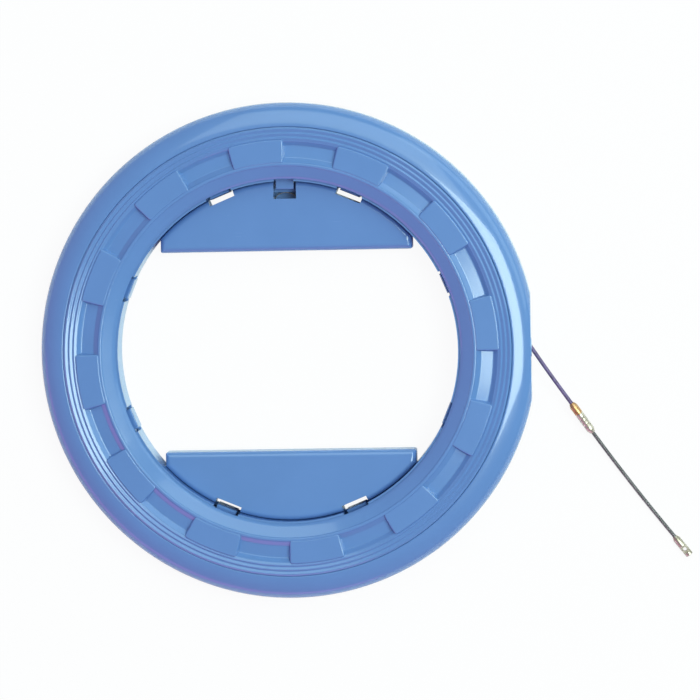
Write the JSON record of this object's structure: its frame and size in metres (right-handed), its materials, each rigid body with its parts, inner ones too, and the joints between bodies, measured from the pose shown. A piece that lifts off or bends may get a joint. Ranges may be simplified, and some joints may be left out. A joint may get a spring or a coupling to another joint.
{
  "type": "fish tape reel",
  "caption": "Ring-shaped fish tape case with D-shaped grips across its open middle, a turning winding ring with finger pads, and a free tape end with a flexible leader and pulling tip.",
  "frame": {"origin": "on the ring's axis, in the plane of the flat back that the case lies on", "axes": "+Z along the ring's axis out of the front, +Y towards the grip with the brake tab, +X towards the flat where the tape leaves"},
  "size_m": [0.4473, 0.3426, 0.0318],
  "materials": {
    "case_plastic": "smooth moulded, mid blue",
    "ring_plastic": "smooth moulded, mid blue",
    "tab_plastic": "smooth moulded, mid blue",
    "bushing_plastic": "smooth, pale blue",
    "tape_polymer": "mottled violet grey",
    "screw_steel": "bright zinc plate",
    "spring_steel": "plain",
    "leader_steel": "fine wound wire",
    "sleeve_brass": "turned",
    "sleeve_steel": "turned, dull nickel",
    "tip_brass": "turned, tarnished"
  },
  "bodies": {
    "case": {"rear_shell": "case_plastic", "front_rim": "case_plastic", "upper_grip": "case_plastic", "lower_grip": "case_plastic", "mouth_bushing": "bushing_plastic", "case_screws": "screw_steel", "grip_screws": "screw_steel", "brake_spring": "spring_steel", "tape_lead": "tape_polymer", "free_tape": "tape_polymer", "tape_sleeve": "sleeve_brass", "leader_sleeve": "sleeve_steel", "leader_spring": "leader_steel", "leader_core": "leader_steel", "end_tip": "tip_brass"},
    "ring": {"winding_ring": "ring_plastic", "drum_flange": "ring_plastic", "flange_screws": "screw_steel", "tape_coil": "tape_polymer", "tape_anchor": "spring_steel", "anchor_screw": "screw_steel"},
    "brake": {"brake_tab": "tab_plastic"}
  },
  "joints": [
    {"name": "ring_spin", "type": "hinge", "parent": "case", "child": "ring", "pos_m": [0, 0, 0], "axis": [0, 0, 1], "continuous": true},
    {"name": "brake_slide", "type": "slide", "parent": "case", "child": "brake", "axis": [0, -1, 0], "range_m": [0, 0.0025], "stiffness_N_per_m": 300, "springref_m": -0.002, "deforming": ["brake_spring"]}
  ]
}
